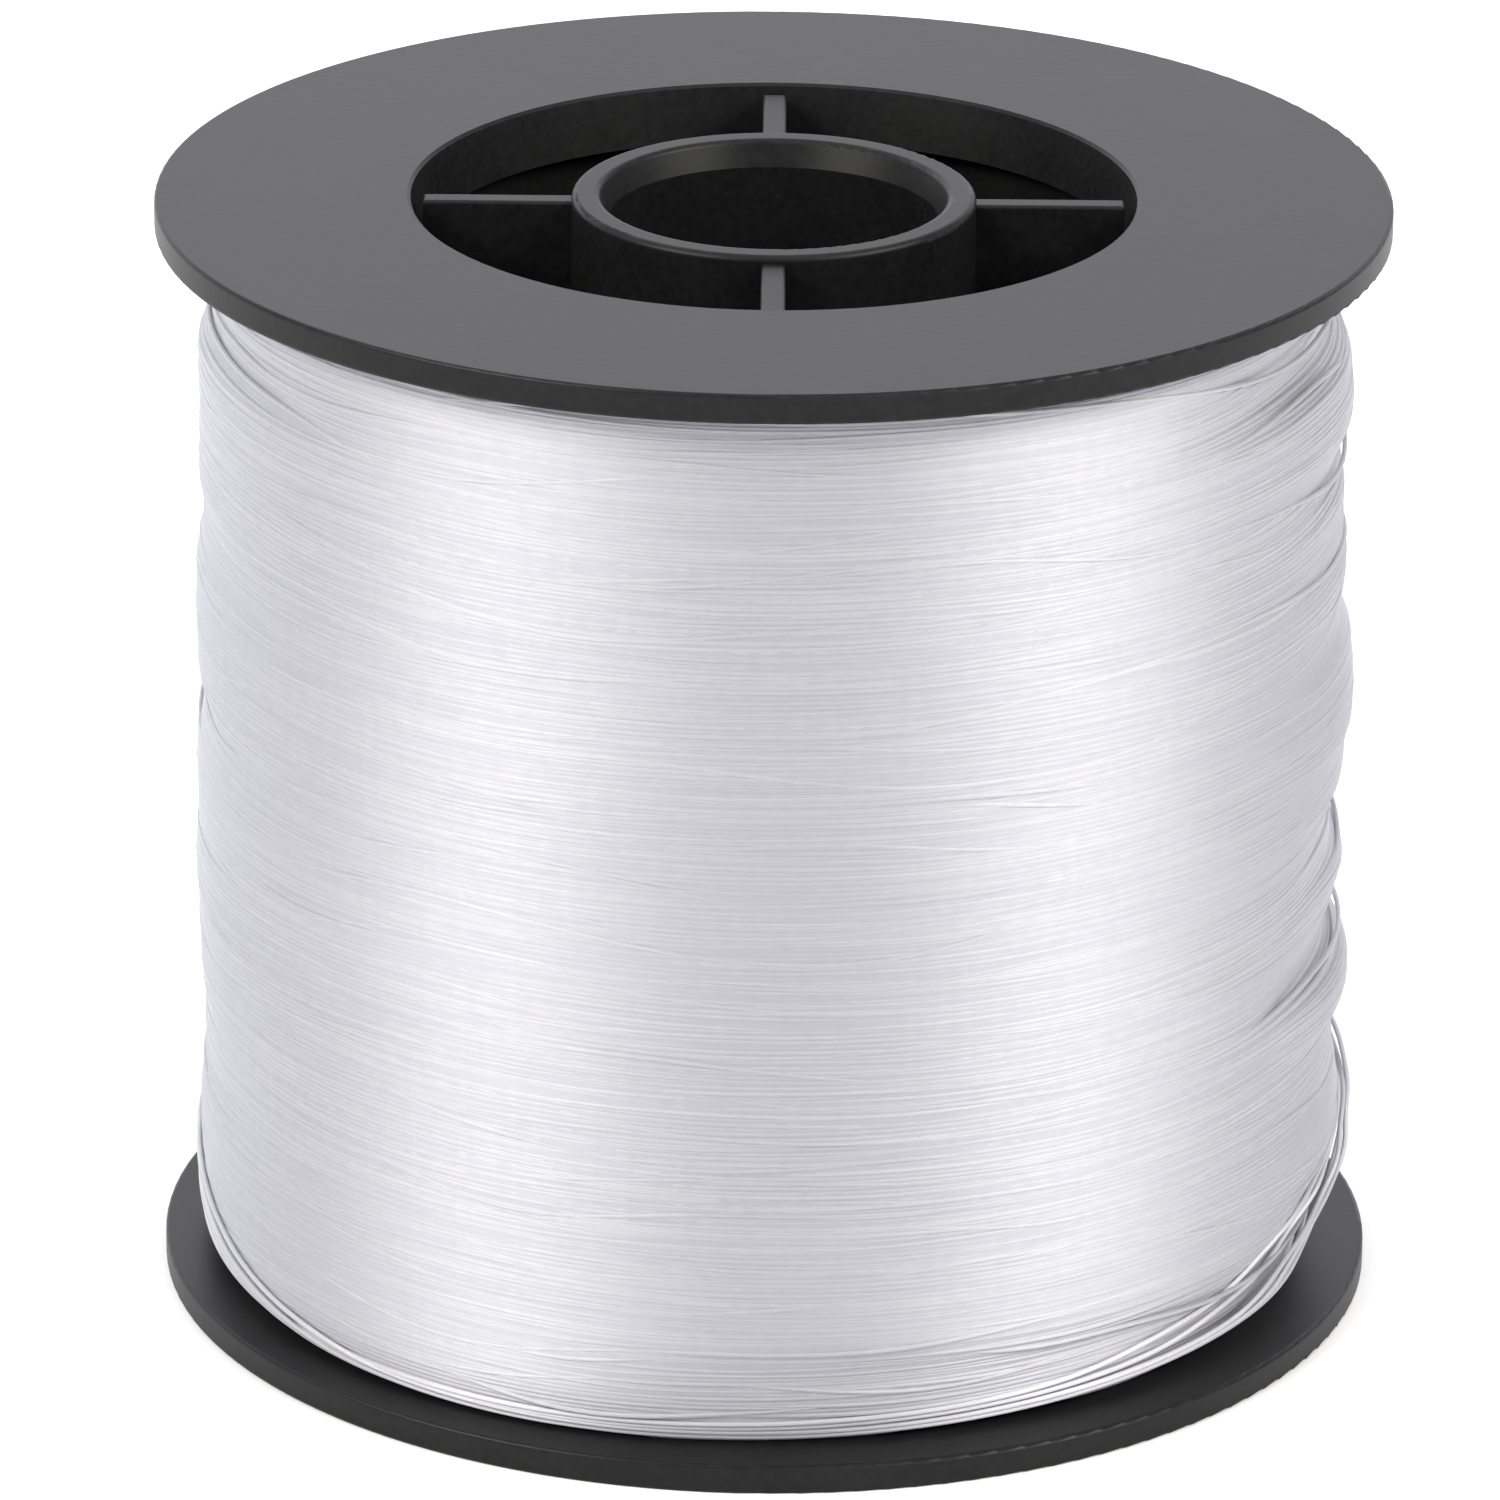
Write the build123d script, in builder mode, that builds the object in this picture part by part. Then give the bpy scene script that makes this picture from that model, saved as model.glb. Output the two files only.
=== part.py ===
"""Bulk spool of nylon fishing line.

The spool is four plastic mouldings: a barrel that the line is wound on, a hub tube with four webs that
slides into keyways in the barrel, and two flanges whose collars snap into the barrel's ends and trap the
webs between them. The line is one filament. Its inner end goes through a small hole in the barrel and is
knotted inside, the bulk is wound between the flanges, a few slack turns have slipped down to the lower
flange, and its outer end is held at the back by a strip of clear tape.

Millimetres. +Z is the spool's axis, and the origin is where that axis meets the surface it stands on.
"""

import os
from math import cos, radians, sin

from build123d import *

# Spool, overall
SPOOL_HEIGHT = 61.0
FLANGE_RADIUS = 33.0

# Flanges
FLANGE_THICKNESS = 1.6
FLANGE_EDGE_ROUND = 0.2
OPENING_EDGE_BREAK = 0.15
OPENING_DRAFT = 0.6  # the opening is this much wider at the outer face than at the collar's inner end
COLLAR_LENGTH = 1.5  # inside the barrel
COLLAR_WALL = 1.45  # at its inner end
COLLAR_LEAD_IN = 0.3

# Snap joint between a collar and the barrel
SNAP_BEAD_RADIUS = 0.25
SNAP_BEAD_DEPTH = 0.7  # from the barrel's end to the middle of the bead
SNAP_CLEARANCE = 0.05

# Barrel
BARREL_RADIUS = 22.1
BARREL_WALL = 1.8
KEYWAY_DEPTH = 0.7
ANCHOR_HOLE_CLEARANCE = 0.2
ANCHOR_HOLE_HEIGHT = 4.9  # above the barrel's lower end
ANCHOR_AZIMUTH = 45.0

# Hub tube and its webs
HUB_BORE_RADIUS = 8.8
HUB_WALL = 2.0
HUB_MOUTH_WIDENING = 0.55
HUB_MOUTH_DEPTH = 1.4
HUB_EDGE_ROUND = 0.35
WEB_THICKNESS = 1.3
WEB_RECESS = 0.4  # the webs end this far below the flanges' outer faces
WEB_CLEARANCE = 0.1
WEB_EDGE_ROUND = 0.2

# Line
LINE_RADIUS = 0.14
WINDING_RADIUS = 31.0
WINDING_TOP_ROUND = 0.8
WINDING_BOTTOM_ROUND = 2.4
KNOT_RADIUS = 0.55

# Slack turns, which have slipped down to the lower flange on one side
LOOSE_TURN_SLACK = 1.0  # their radius is this much more than the winding's
LOOSE_TURN_SHIFT = 0.4
LOOSE_SHIFT_AZIMUTH = -30.0
LOOSE_LOW_AZIMUTH = -75.0
LOOSE_TURN_GAP = 0.34  # from one turn to the next, where they are lowest
LOOSE_TURN_TILTS = (6.6, 7.8, 9.4)  # degrees, from the lowest turn up

# Tape over the line's outer end
TAPE_SKIN = 0.12  # of tape left over the line
TAPE_WIDTH = 12.0
TAPE_ARC = 44.0
TAPE_AZIMUTH = 90.0
TAPE_HEIGHT = 33.0
TAPE_CLEARANCE = 0.03
LINE_END_ARC = 34.0
LINE_END_PAST_TAPE = 12.0  # degrees of the line's end that stick out from under the tape

# What follows from them
barrel_length = SPOOL_HEIGHT - 2 * FLANGE_THICKNESS
barrel_bore_radius = BARREL_RADIUS - BARREL_WALL
keyway_radius = barrel_bore_radius + KEYWAY_DEPTH
collar_radius = barrel_bore_radius - SNAP_CLEARANCE
collar_end_radius = collar_radius - COLLAR_WALL
collar_depth = FLANGE_THICKNESS + COLLAR_LENGTH
opening_radius = collar_end_radius + OPENING_DRAFT
bead_depth = FLANGE_THICKNESS + SNAP_BEAD_DEPTH
hub_radius = HUB_BORE_RADIUS + HUB_WALL
web_end_radius = collar_end_radius - WEB_CLEARANCE
web_radius = keyway_radius - WEB_CLEARANCE
mid_height = SPOOL_HEIGHT / 2

# Half planes to revolve about Z: local X is the radius, and local Y runs from a flange's outer face
# towards the middle of the spool.
LOWER_PLANE = Plane.XZ
UPPER_PLANE = Plane(origin=(0, 0, SPOOL_HEIGHT), x_dir=(1, 0, 0), z_dir=(0, 1, 0))


pieces = {}

# Flanges: a disc with a collar, and round the collar the half-round bead that snaps into the barrel.
for name, outer_face in (("lower_flange", LOWER_PLANE), ("upper_flange", UPPER_PLANE)):
    with BuildPart() as flange:
        with BuildSketch(outer_face):
            with BuildLine():
                FilletPolyline(
                    (opening_radius, 0),
                    (FLANGE_RADIUS, 0),
                    (FLANGE_RADIUS, FLANGE_THICKNESS),
                    (collar_radius, FLANGE_THICKNESS),
                    radius=FLANGE_EDGE_ROUND,
                )
                Polyline(
                    (collar_radius, FLANGE_THICKNESS),
                    (collar_radius, collar_depth - COLLAR_LEAD_IN),
                    (collar_radius - COLLAR_LEAD_IN, collar_depth),
                    (collar_end_radius, collar_depth),
                    (opening_radius, 0),
                )
            make_face()
            with Locations((collar_radius, bead_depth)):
                Circle(SNAP_BEAD_RADIUS)
        revolve(axis=Axis.Z)
        circles = flange.edges().filter_by(GeomType.CIRCLE)
        opening = circles.filter_by(lambda edge: abs(edge.radius - opening_radius) < 1e-4)
        chamfer(opening, OPENING_EDGE_BREAK)
    pieces[name] = flange

# Barrel: a tube with four keyways for the webs, a groove near each end for the flange's bead, and the
# hole that the line's inner end goes through.
with BuildPart() as barrel:
    with BuildSketch(Plane.XY.offset(FLANGE_THICKNESS)):
        Circle(BARREL_RADIUS)
        Circle(barrel_bore_radius, mode=Mode.SUBTRACT)
        with PolarLocations(keyway_radius / 2, 4):
            Rectangle(keyway_radius, WEB_THICKNESS + 2 * WEB_CLEARANCE, mode=Mode.SUBTRACT)
    extrude(amount=barrel_length)
    for end_plane in (LOWER_PLANE, UPPER_PLANE):
        with BuildSketch(end_plane):
            with Locations((collar_radius, bead_depth)):
                Circle(SNAP_BEAD_RADIUS + SNAP_CLEARANCE)
        revolve(axis=Axis.Z, mode=Mode.SUBTRACT)
    anchor_plane = Plane(
        origin=(0, 0, FLANGE_THICKNESS + ANCHOR_HOLE_HEIGHT),
        z_dir=(cos(radians(ANCHOR_AZIMUTH)), sin(radians(ANCHOR_AZIMUTH)), 0),
    )
    with BuildSketch(anchor_plane):
        Circle(LINE_RADIUS + ANCHOR_HOLE_CLEARANCE)
    extrude(amount=BARREL_RADIUS + BARREL_WALL, mode=Mode.SUBTRACT)

# Hub: a tube with a widened mouth at each end, and two crossed plates that are its four webs. The webs'
# full width is held between the two collars, and their narrower ends stand inside the collars.
with BuildPart() as hub:
    for plate_plane in (Plane.XZ, Plane.YZ):
        with BuildSketch(plate_plane):
            with Locations((0, mid_height)):
                Rectangle(2 * web_end_radius, SPOOL_HEIGHT - 2 * WEB_RECESS)
                Rectangle(2 * web_radius, SPOOL_HEIGHT - 2 * collar_depth)
        extrude(amount=WEB_THICKNESS / 2, both=True)
    end_edges = hub.edges().filter_by(Plane.XY).group_by(Axis.Z)
    fillet(end_edges[0] + end_edges[-1], WEB_EDGE_ROUND)
    with BuildSketch():
        Circle(hub_radius)
    extrude(amount=SPOOL_HEIGHT)
    with BuildSketch():
        Circle(HUB_BORE_RADIUS)
    extrude(amount=SPOOL_HEIGHT, mode=Mode.SUBTRACT)
    for end_plane in (LOWER_PLANE, UPPER_PLANE):
        with BuildSketch(end_plane):
            with BuildLine():
                Polyline(
                    (0, 0),
                    (HUB_BORE_RADIUS + HUB_MOUTH_WIDENING, 0),
                    (HUB_BORE_RADIUS, HUB_MOUTH_DEPTH),
                    (0, HUB_MOUTH_DEPTH),
                    close=True,
                )
            make_face()
        revolve(axis=Axis.Z, mode=Mode.SUBTRACT)
    rims = hub.edges().filter_by(GeomType.CIRCLE).filter_by(lambda edge: edge.radius > HUB_BORE_RADIUS)
    rims = rims.filter_by(Plane.XY).group_by(Axis.Z)
    fillet(rims[0] + rims[-1], HUB_EDGE_ROUND)

# Winding: the bulk of the line, from the barrel out, with rounded shoulders where it meets the flanges.
with BuildPart() as line_winding:
    with BuildSketch(Plane.XY.offset(FLANGE_THICKNESS)):
        Circle(WINDING_RADIUS)
    extrude(amount=barrel_length)
    fillet(line_winding.edges().sort_by(Axis.Z)[-1], WINDING_TOP_ROUND)
    fillet(line_winding.edges().sort_by(Axis.Z)[0], WINDING_BOTTOM_ROUND)
    with BuildSketch(Plane.XY.offset(FLANGE_THICKNESS)):
        Circle(BARREL_RADIUS)
    extrude(amount=barrel_length, mode=Mode.SUBTRACT)

# Slack turns: each is a tilted ring round the winding. The lowest lies on the lower flange, and where
# they are lowest each lies just above the one before.
loose_radius = WINDING_RADIUS + LOOSE_TURN_SLACK
with BuildPart() as loose_turns:
    for i, tilt in enumerate(LOOSE_TURN_TILTS):
        low_height = FLANGE_THICKNESS + LINE_RADIUS + (i + 0.1) * LOOSE_TURN_GAP
        ring_plane = Plane(
            origin=(
                LOOSE_TURN_SHIFT * cos(radians(LOOSE_SHIFT_AZIMUTH)),
                LOOSE_TURN_SHIFT * sin(radians(LOOSE_SHIFT_AZIMUTH)),
                low_height + loose_radius * sin(radians(tilt)),
            ),
            z_dir=(
                sin(radians(tilt)) * cos(radians(LOOSE_LOW_AZIMUTH)),
                sin(radians(tilt)) * sin(radians(LOOSE_LOW_AZIMUTH)),
                cos(radians(tilt)),
            ),
        )
        with Locations(ring_plane):
            Torus(loose_radius, LINE_RADIUS)

# Inner end: a straight stub through the anchor hole, and the stopper knot inside the barrel.
with BuildPart() as line_start:
    with BuildSketch(anchor_plane.offset(barrel_bore_radius - KNOT_RADIUS)):
        Circle(LINE_RADIUS)
    extrude(amount=KNOT_RADIUS + BARREL_WALL)
    with Locations(anchor_plane.offset(barrel_bore_radius - KNOT_RADIUS)):
        Sphere(KNOT_RADIUS)

# Outer end: the last stretch of the line lies on the winding and sticks out from under the tape.
line_end_radius = WINDING_RADIUS + LINE_RADIUS + TAPE_CLEARANCE
tape_thickness = TAPE_CLEARANCE + 2 * LINE_RADIUS + TAPE_SKIN
line_end_start = TAPE_AZIMUTH + TAPE_ARC / 2 + LINE_END_PAST_TAPE - LINE_END_ARC
tape_start = TAPE_AZIMUTH - TAPE_ARC / 2


def half_plane(azimuth):
    """The half plane through the spool's axis at an azimuth: local X is the radius, local Y is up."""
    direction = (cos(radians(azimuth)), sin(radians(azimuth)), 0)
    return Plane(origin=(0, 0, 0), x_dir=direction, z_dir=(direction[1], -direction[0], 0))


with BuildPart() as line_end:
    with BuildSketch(half_plane(line_end_start)):
        with Locations((line_end_radius, TAPE_HEIGHT)):
            Circle(LINE_RADIUS)
    revolve(axis=Axis.Z, revolution_arc=LINE_END_ARC)

with BuildPart() as end_tape:
    with BuildSketch(half_plane(tape_start)):
        with Locations((WINDING_RADIUS + TAPE_CLEARANCE + tape_thickness / 2, TAPE_HEIGHT)):
            Rectangle(tape_thickness, TAPE_WIDTH)
    revolve(axis=Axis.Z, revolution_arc=TAPE_ARC)
    with BuildSketch(half_plane(line_end_start)):
        with Locations((line_end_radius, TAPE_HEIGHT)):
            Circle(LINE_RADIUS + TAPE_CLEARANCE)
    revolve(axis=Axis.Z, revolution_arc=LINE_END_ARC, mode=Mode.SUBTRACT)

pieces |= {
    "barrel": barrel,
    "hub": hub,
    "line_winding": line_winding,
    "loose_turns": loose_turns,
    "line_start": line_start,
    "line_end": line_end,
    "end_tape": end_tape,
}
os.makedirs("parts", exist_ok=True)
for name, piece in pieces.items():
    piece.part.label = name
    export_step(piece.part, f"parts/{name}.step")
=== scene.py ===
"""Bulk spool of fishing line: black moulded plastic, wound full of clear white nylon line."""

import math

import bmesh
import bpy
from bpy.props import FloatProperty, FloatVectorProperty, IntProperty, PointerProperty
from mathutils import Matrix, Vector


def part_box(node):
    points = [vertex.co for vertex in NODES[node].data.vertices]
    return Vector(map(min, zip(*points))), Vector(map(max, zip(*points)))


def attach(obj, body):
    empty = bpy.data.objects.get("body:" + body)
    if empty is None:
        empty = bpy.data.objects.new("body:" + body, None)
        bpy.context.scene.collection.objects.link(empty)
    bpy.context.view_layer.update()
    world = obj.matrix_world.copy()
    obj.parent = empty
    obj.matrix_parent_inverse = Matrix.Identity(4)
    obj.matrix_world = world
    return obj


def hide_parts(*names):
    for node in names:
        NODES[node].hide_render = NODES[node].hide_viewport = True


bl_info = {
    "name": "Fishing Line Spool",
    "version": (1, 0, 0),
    "blender": (4, 5, 0),
    "location": "3D View > Sidebar > Line Spool",
    "description": "Builds the winding, the slack turns, the tape and the finishes of a fishing line spool",
    "category": "Object",
}

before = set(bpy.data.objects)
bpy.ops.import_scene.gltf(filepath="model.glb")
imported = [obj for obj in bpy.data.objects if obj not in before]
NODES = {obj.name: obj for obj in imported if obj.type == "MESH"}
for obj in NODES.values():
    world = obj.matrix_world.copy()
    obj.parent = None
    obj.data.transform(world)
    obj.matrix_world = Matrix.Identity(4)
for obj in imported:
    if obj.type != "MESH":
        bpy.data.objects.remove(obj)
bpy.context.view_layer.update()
BODY = "root"
MM = 0.001
DIAMETER = 0.28 * MM
winding_low, winding_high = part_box("line_winding")
start_low, start_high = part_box("line_start")
tape_low, tape_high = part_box("end_tape")
end_low, end_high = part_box("line_end")
WINDING_RADIUS = winding_high.x
BARREL_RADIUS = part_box("barrel")[1].x

# How the pack narrows at its ends: (how far from the end that starts, how much it comes to), in mm
LOWER_END = (3.4, 1.5)
UPPER_END = (1.6, 0.6)
# How deep the pack's skin and the middles of its turns lie under the winding's surface, in line radii
PACK_DEPTH = 0.62
LAID_DEPTH = 1.42
RIDING_DEPTH = 1.30
CROSSING_DEPTH = 1.25
# Turns that ride over the laid ones, wound the other way, and turns that cross them at a steeper slope
RIDING_TURNS = 128
CROSSING_TURNS = 40
# From one laid turn to the next, in line diameters
LAID_PITCH = 1.004
# How far neighbouring turns drift up and down together, and how far from each end that fades in, in mm
DRIFT = 0.5
DRIFT_MARGIN = 4

# Where the turns have bunched up or sunk in, mostly on the +X side:
# (azimuth, height in mm, half width in degrees, half height in mm, rise in mm)
SWELLS = (
    (0, 55.8, 50, 3.0, -1.35),
    (2, 50.4, 34, 2.6, 0.20),
    (0, 47.6, 34, 2.4, -0.50),
    (-4, 44.0, 40, 2.4, -0.15),
    (4, 41.6, 30, 1.6, 0.10),
    (0, 39.2, 30, 1.8, -0.30),
    (0, 36.4, 30, 2.0, 0.45),
    (0, 33.8, 36, 2.6, 0.62),
    (-6, 30.5, 44, 3.0, 0.25),
    (0, 28.0, 34, 1.8, -0.35),
    (2, 26.2, 34, 2.0, -0.45),
    (6, 24.4, 26, 1.2, 0.35),
    (-2, 20.8, 36, 2.2, -0.70),
    (3, 17.8, 30, 2.2, 0.75),
    (0, 10.2, 40, 2.6, 0.40),
    (-20, 3.4, 100, 4.4, -1.20),
    (-6, 4.6, 26, 2.6, -0.35),
    (180, 55.8, 50, 3.0, -0.75),
    (184, 43.6, 30, 2.4, -0.30),
    (178, 33.0, 40, 2.2, -0.30),
    (176, 24.0, 36, 2.4, 0.16),
    (180, 14.0, 44, 4.2, -0.30),
    (180, 50.0, 60, 12.0, -0.20),
    (95, 47.0, 50, 2.6, 0.35),
    (80, 21.0, 45, 2.2, -0.30),
    (110, 15.0, 40, 2.4, 0.30),
)


# ---------------------------------------------------------------- settings


class LineSettings(bpy.types.PropertyGroup):
    """Sizes and colours of the line and of how it is wound."""

    diameter: FloatProperty(
        name="Line diameter", description="Diameter of the nylon line", default=DIAMETER, min=0.1 * MM,
        unit="LENGTH",
    )
    sides: IntProperty(name="Sides", description="Sides of the line's section", default=6, min=5, max=12)
    segments: IntProperty(
        name="Segments per turn", description="Steps in one turn of line", default=128, min=48
    )
    wander: FloatProperty(
        name="Wander", description="How far a laid turn strays from its neighbours",
        default=0.05 * MM, unit="LENGTH",
    )
    bunching: FloatProperty(
        name="Bunching", description="How far the turns on top stray and bunch up",
        default=0.6 * MM, unit="LENGTH",
    )
    unevenness: FloatProperty(
        name="Unevenness", description="Depth of the broad hollows in the winding",
        default=0.16 * MM, unit="LENGTH",
    )
    seed: IntProperty(name="Seed", description="Picks how the turns lie", default=11)
    colour: FloatVectorProperty(
        name="Line colour", description="Colour of the nylon", subtype="COLOR", size=4, min=0, max=1,
        default=(0.55, 0.55, 0.585, 1),
    )
    # A lighter copy of the line colour for the same nylon: painted light on the loose turns and the line's
    # ends
    painted_lit_colour: FloatVectorProperty(
        name="Painted lit line colour", description="Colour of the turns that lie loose", subtype="COLOR", size=4,
        min=0, max=1, default=(0.66, 0.66, 0.69, 1),
    )
    roughness: FloatProperty(
        name="Roughness", description="Roughness of the nylon", default=0.67, min=0, max=1
    )
    silkiness: FloatProperty(
        name="Silkiness", description="How far a highlight spreads across the turns",
        default=0.83, min=0, max=1,
    )
    lustre: FloatProperty(
        name="Lustre", description="Silky reflection of the nylon", default=0.7, min=0, max=1
    )


class PlasticSettings(bpy.types.PropertyGroup):
    """Finish of the black mouldings."""

    colour: FloatVectorProperty(
        name="Plastic colour", description="Colour of the mouldings", subtype="COLOR", size=4, min=0, max=1,
        default=(0.006, 0.006, 0.0062, 1),
    )
    roughness: FloatProperty(name="Roughness", description="Mean roughness", default=0.40, min=0, max=1)
    grain_size: FloatProperty(
        name="Grain size", description="Size of the fine texture", default=0.45 * MM, unit="LENGTH"
    )
    grain_depth: FloatProperty(
        name="Grain depth", description="Depth of the fine texture", default=0.006 * MM, unit="LENGTH"
    )


class StageSettings(bpy.types.PropertyGroup):
    """Floor, light and camera."""

    floor_colour: FloatVectorProperty(
        name="Floor colour", description="Colour of the floor", subtype="COLOR", size=4, min=0, max=1,
        default=(0.86, 0.86, 0.86, 1),
    )
    surround: FloatProperty(
        name="Surround", description="Brightness of the white surroundings", default=0.48, min=0
    )
    backdrop: FloatProperty(
        name="Backdrop", description="Brightness of the wall behind the spool", default=1.8, min=0
    )
    overhead: FloatProperty(name="Overhead", description="Extra brightness from above", default=1.2, min=0)
    softbox_power: FloatProperty(
        name="Softbox power", description="Power of each softbox", default=24.4, min=0
    )
    lens: FloatProperty(name="Lens", description="Focal length in mm", default=263.67, min=10)


# ---------------------------------------------------------------- node trees


class Bench:
    """Lays out one node tree: adds nodes, and sets or joins their inputs."""

    def __init__(self, tree):
        self.tree = tree

    def add(self, kind, inputs=None, **settings):
        node = self.tree.nodes.new(kind)
        for name, value in settings.items():
            setattr(node, name, value)
        for key, value in (inputs or {}).items():
            self.join(value, node.inputs[key])
        return node

    def join(self, value, socket):
        if isinstance(value, bpy.types.NodeSocket):
            self.tree.links.new(value, socket)
        else:
            socket.default_value = value

    def math(self, operation, *values, clamp=False):
        node = self.add("ShaderNodeMath", operation=operation, use_clamp=clamp)
        for socket, value in zip(node.inputs, values):
            self.join(value, socket)
        return node.outputs[0]

    def vector(self, operation, *values):
        node = self.add("ShaderNodeVectorMath", operation=operation)
        for socket, value in zip(node.inputs, values):
            self.join(value, socket)
        return node.outputs["Value" if operation in {"DOT_PRODUCT", "LENGTH"} else "Vector"]

    def scale(self, vector, amount):
        node = self.add("ShaderNodeVectorMath", {0: vector, "Scale": amount}, operation="SCALE")
        return node.outputs["Vector"]

    def raised(self, vector, height):
        """A vector with a height added to it."""
        return self.vector("ADD", vector, self.combine(0.0, 0.0, height))

    def blend(self, share, low, high):
        """A colour between two."""
        node = self.add("ShaderNodeMix", {"Factor": share, "A": low, "B": high}, data_type="RGBA")
        return node.outputs["Result"]

    def combine(self, x, y, z):
        return self.add("ShaderNodeCombineXYZ", {0: x, 1: y, 2: z}).outputs[0]

    def separate(self, vector):
        return self.add("ShaderNodeSeparateXYZ", {0: vector}).outputs

    def noise(self, vector, scale, seed, detail=1.0):
        """Noise about zero, from about -1 to 1."""
        node = self.add(
            "ShaderNodeTexNoise",
            {"Vector": vector, "W": seed, "Scale": scale, "Detail": detail, "Roughness": 0.5},
            noise_dimensions="4D",
        )
        return self.math("MULTIPLY", self.math("SUBTRACT", node.outputs[0], 0.5), 2.6)

    def smooth(self, value, low, high):
        """0 below low, 1 above high, and a smooth step between."""
        node = self.add(
            "ShaderNodeMapRange",
            {"Value": value, "From Min": low, "From Max": high},
            interpolation_type="SMOOTHSTEP",
        )
        return node.outputs[0]


def new_tree(name, kind, inputs, outputs):
    """A node tree with its sockets, on a bench, with its group input's sockets and its group output node."""
    tree = bpy.data.node_groups.new(name, kind)
    for label, (socket_type, default) in inputs.items():
        socket = tree.interface.new_socket(label, in_out="INPUT", socket_type="NodeSocket" + socket_type)
        if default is not None:
            socket.default_value = default
    for label, socket_type in outputs.items():
        tree.interface.new_socket(label, in_out="OUTPUT", socket_type="NodeSocket" + socket_type)
    bench = Bench(tree)
    return bench, bench.add("NodeGroupInput").outputs, bench.add("NodeGroupOutput")


def winding_surface_tree(seed, unevenness):
    """The wound pack's outside: its radius and the drift of its turns, for a direction and a height."""
    bench, given, result = new_tree(
        "Winding surface",
        "GeometryNodeTree",
        {"Direction": ("Vector", None), "Height": ("Float", 0.0)},
        {"Radius": "Float", "Drift": "Float"},
    )
    low, high = winding_low.z, winding_high.z
    direction, height = given["Direction"], given["Height"]

    def end_drop(distance_from_end, reach, depth):
        """How much the pack narrows near one end."""
        share = bench.math("DIVIDE", distance_from_end, reach * MM)
        share = bench.math("SUBTRACT", 1.0, share, clamp=True)
        # A little over 1, so that rounding never leaves the root of less than nothing.
        arc = bench.math("SQRT", bench.math("SUBTRACT", 1.0001, bench.math("MULTIPLY", share, share)))
        return bench.math("MULTIPLY", bench.math("SUBTRACT", 1.0, arc), depth * MM)

    def noise_place(per_radius, per_metre):
        """Where to read noise: so many of its units to one radius across, and so many to one metre up."""
        up = bench.math("MULTIPLY", height, per_metre)
        return bench.raised(bench.scale(direction, per_radius), up)

    lower_drop = end_drop(bench.math("SUBTRACT", height, low), *LOWER_END)
    upper_drop = end_drop(bench.math("SUBTRACT", high, height), *UPPER_END)
    radius = bench.math("SUBTRACT", bench.math("SUBTRACT", WINDING_RADIUS, lower_drop), upper_drop)
    hollows = bench.math("MULTIPLY", bench.noise(noise_place(1.1, 190.0), 1.0, seed, 2.0), unevenness)
    radius = bench.math("ADD", radius, hollows)
    for azimuth, middle, half_width, half_height, rise in SWELLS:
        a = math.radians(azimuth)
        facing = bench.vector("DOT_PRODUCT", direction, (math.cos(a), math.sin(a), 0.0))
        across = bench.smooth(facing, math.cos(math.radians(half_width)), 1.0)
        away = bench.math("ABSOLUTE", bench.math("SUBTRACT", height, middle * MM))
        up = bench.smooth(away, half_height * MM, 0.2 * half_height * MM)
        bump = bench.math("MULTIPLY", bench.math("MULTIPLY", across, up), rise * MM)
        radius = bench.math("ADD", radius, bump)
    bench.join(radius, result.inputs["Radius"])
    inside = bench.math(
        "MULTIPLY",
        bench.smooth(height, low, low + DRIFT_MARGIN * MM),
        bench.smooth(height, high, high - DRIFT_MARGIN * MM),
    )
    drift = bench.math("MULTIPLY", bench.noise(noise_place(0.8, 70.0), 1.0, seed + 3.0), DRIFT * MM)
    bench.join(bench.math("MULTIPLY", drift, inside), result.inputs["Drift"])
    return bench.tree


def sweep_line(bench, curve, tone, given, result):
    """Ends a tree: stores the line's tone on a curve, sweeps its round section along it and paints it."""
    toned = bench.add(
        "GeometryNodeStoreNamedAttribute",
        {"Geometry": curve, "Name": "line_tone", "Value": tone},
        data_type="FLOAT",
        domain="POINT",
    )
    section = bench.add(
        "GeometryNodeCurvePrimitiveCircle",
        {"Resolution": given["Sides"], "Radius": given["Line Radius"]},
        mode="RADIUS",
    )
    swept = bench.add(
        "GeometryNodeCurveToMesh",
        {"Curve": toned.outputs[0], "Profile Curve": section.outputs[0], "Fill Caps": True},
    )
    smooth = bench.add("GeometryNodeSetShadeSmooth", {"Geometry": swept.outputs[0], "Shade Smooth": True})
    paint(bench, smooth.outputs[0], given, result)


def paint(bench, geometry, given, result):
    """Ends a tree: makes its geometry real and gives it its material."""
    real = bench.add("GeometryNodeRealizeInstances", {"Geometry": geometry})
    painted = bench.add(
        "GeometryNodeSetMaterial", {"Geometry": real.outputs[0], "Material": given["Material"]}
    )
    bench.join(painted.outputs[0], result.inputs["Geometry"])


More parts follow.
